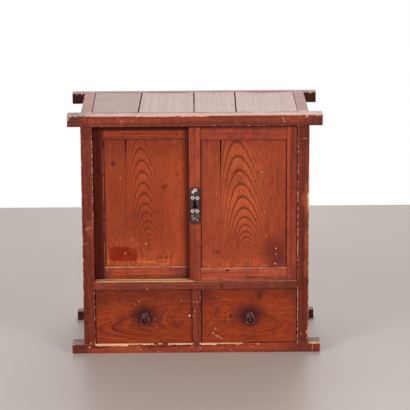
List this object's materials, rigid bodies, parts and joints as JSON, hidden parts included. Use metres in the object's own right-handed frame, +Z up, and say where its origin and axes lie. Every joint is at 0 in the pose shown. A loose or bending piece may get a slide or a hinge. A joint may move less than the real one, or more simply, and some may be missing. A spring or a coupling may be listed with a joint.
{
  "type": "merchant chest",
  "caption": "Framed wooden merchant chest with sliding panel doors over drawers with ring pulls, long rails running past the posts, and an iron lock plate.",
  "frame": {"origin": "on the floor, under the middle of the chest's bounding box with its ring pulls", "axes": "+X to the right of the chest seen from the front, +Y to its back, +Z up"},
  "size_m": [0.85, 0.4382, 0.826],
  "materials": {
    "frame_lacquer": "worn red-brown lacquer on frame members",
    "figured_panels": "red-brown lacquer over bold cathedral grain",
    "faded_boards": "faded, dusty lacquer over fine straight grain",
    "bare_wood": "bare planed softwood, darkened by age",
    "iron": "dark wrought iron, worn bright on its edges"
  },
  "bodies": {
    "case": {"front_top_rail": "frame_lacquer", "rear_top_rail": "frame_lacquer", "front_base_rail": "frame_lacquer", "rear_base_rail": "frame_lacquer", "front_left_post": "frame_lacquer", "front_right_post": "frame_lacquer", "rear_left_post": "frame_lacquer", "rear_right_post": "frame_lacquer", "left_top_end_rail": "frame_lacquer", "right_top_end_rail": "frame_lacquer", "left_base_end_rail": "frame_lacquer", "right_base_end_rail": "frame_lacquer", "door_sill": "frame_lacquer", "drawer_divider": "frame_lacquer", "top_board_1": "faded_boards", "top_board_2": "faded_boards", "top_board_3": "faded_boards", "top_board_4": "faded_boards", "left_side_panel": "faded_boards", "right_side_panel": "faded_boards", "base_board": "bare_wood", "back_board_1": "bare_wood", "back_board_2": "bare_wood", "cupboard_floor": "bare_wood", "left_floor_bearer": "bare_wood", "right_floor_bearer": "bare_wood", "left_drawer_guide": "bare_wood", "right_drawer_guide": "bare_wood", "centre_drawer_guide": "bare_wood"},
    "left_door": {"left_door_left_stile": "frame_lacquer", "left_door_right_stile": "frame_lacquer", "left_door_top_rail": "frame_lacquer", "left_door_bottom_rail": "frame_lacquer", "left_door_narrow_board": "figured_panels", "left_door_wide_board": "figured_panels"},
    "right_door": {"right_door_left_stile": "frame_lacquer", "right_door_right_stile": "frame_lacquer", "right_door_top_rail": "frame_lacquer", "right_door_bottom_rail": "frame_lacquer", "right_door_narrow_board": "figured_panels", "right_door_wide_board": "figured_panels", "lock_plate": "iron", "lock_case": "iron"},
    "lock_bolt": {"lock_bolt": "iron"},
    "left_drawer": {"left_drawer_front": "figured_panels", "left_drawer_left_side": "bare_wood", "left_drawer_right_side": "bare_wood", "left_drawer_back": "bare_wood", "left_drawer_bottom": "bare_wood", "left_pull_rosette": "iron", "left_pull_staple": "iron"},
    "left_ring": {"left_pull_ring": "iron"},
    "right_drawer": {"right_drawer_front": "figured_panels", "right_drawer_left_side": "bare_wood", "right_drawer_right_side": "bare_wood", "right_drawer_back": "bare_wood", "right_drawer_bottom": "bare_wood", "right_pull_rosette": "iron", "right_pull_staple": "iron"},
    "right_ring": {"right_pull_ring": "iron"}
  },
  "joints": [
    {"name": "left_door_slide", "type": "slide", "parent": "case", "child": "left_door", "axis": [1, 0, 0], "range_m": [0, 0.3215]},
    {"name": "right_door_slide", "type": "slide", "parent": "case", "child": "right_door", "axis": [-1, 0, 0], "range_m": [0, 0.3215]},
    {"name": "lock_bolt_slide", "type": "slide", "parent": "right_door", "child": "lock_bolt", "axis": [0, 1, 0], "range_m": [0, 0.008]},
    {"name": "left_drawer_slide", "type": "slide", "parent": "case", "child": "left_drawer", "axis": [0, -1, 0], "range_m": [0, 0.29]},
    {"name": "right_drawer_slide", "type": "slide", "parent": "case", "child": "right_drawer", "axis": [0, -1, 0], "range_m": [0, 0.29]},
    {"name": "left_ring_swing", "type": "hinge", "parent": "left_drawer", "child": "left_ring", "pos_m": [-0.173, -0.2127, 0.12995], "axis": [-1, 0, 0], "range_deg": [0, 165]},
    {"name": "right_ring_swing", "type": "hinge", "parent": "right_drawer", "child": "right_ring", "pos_m": [0.184, -0.2127, 0.12995], "axis": [-1, 0, 0], "range_deg": [0, 165]}
  ]
}
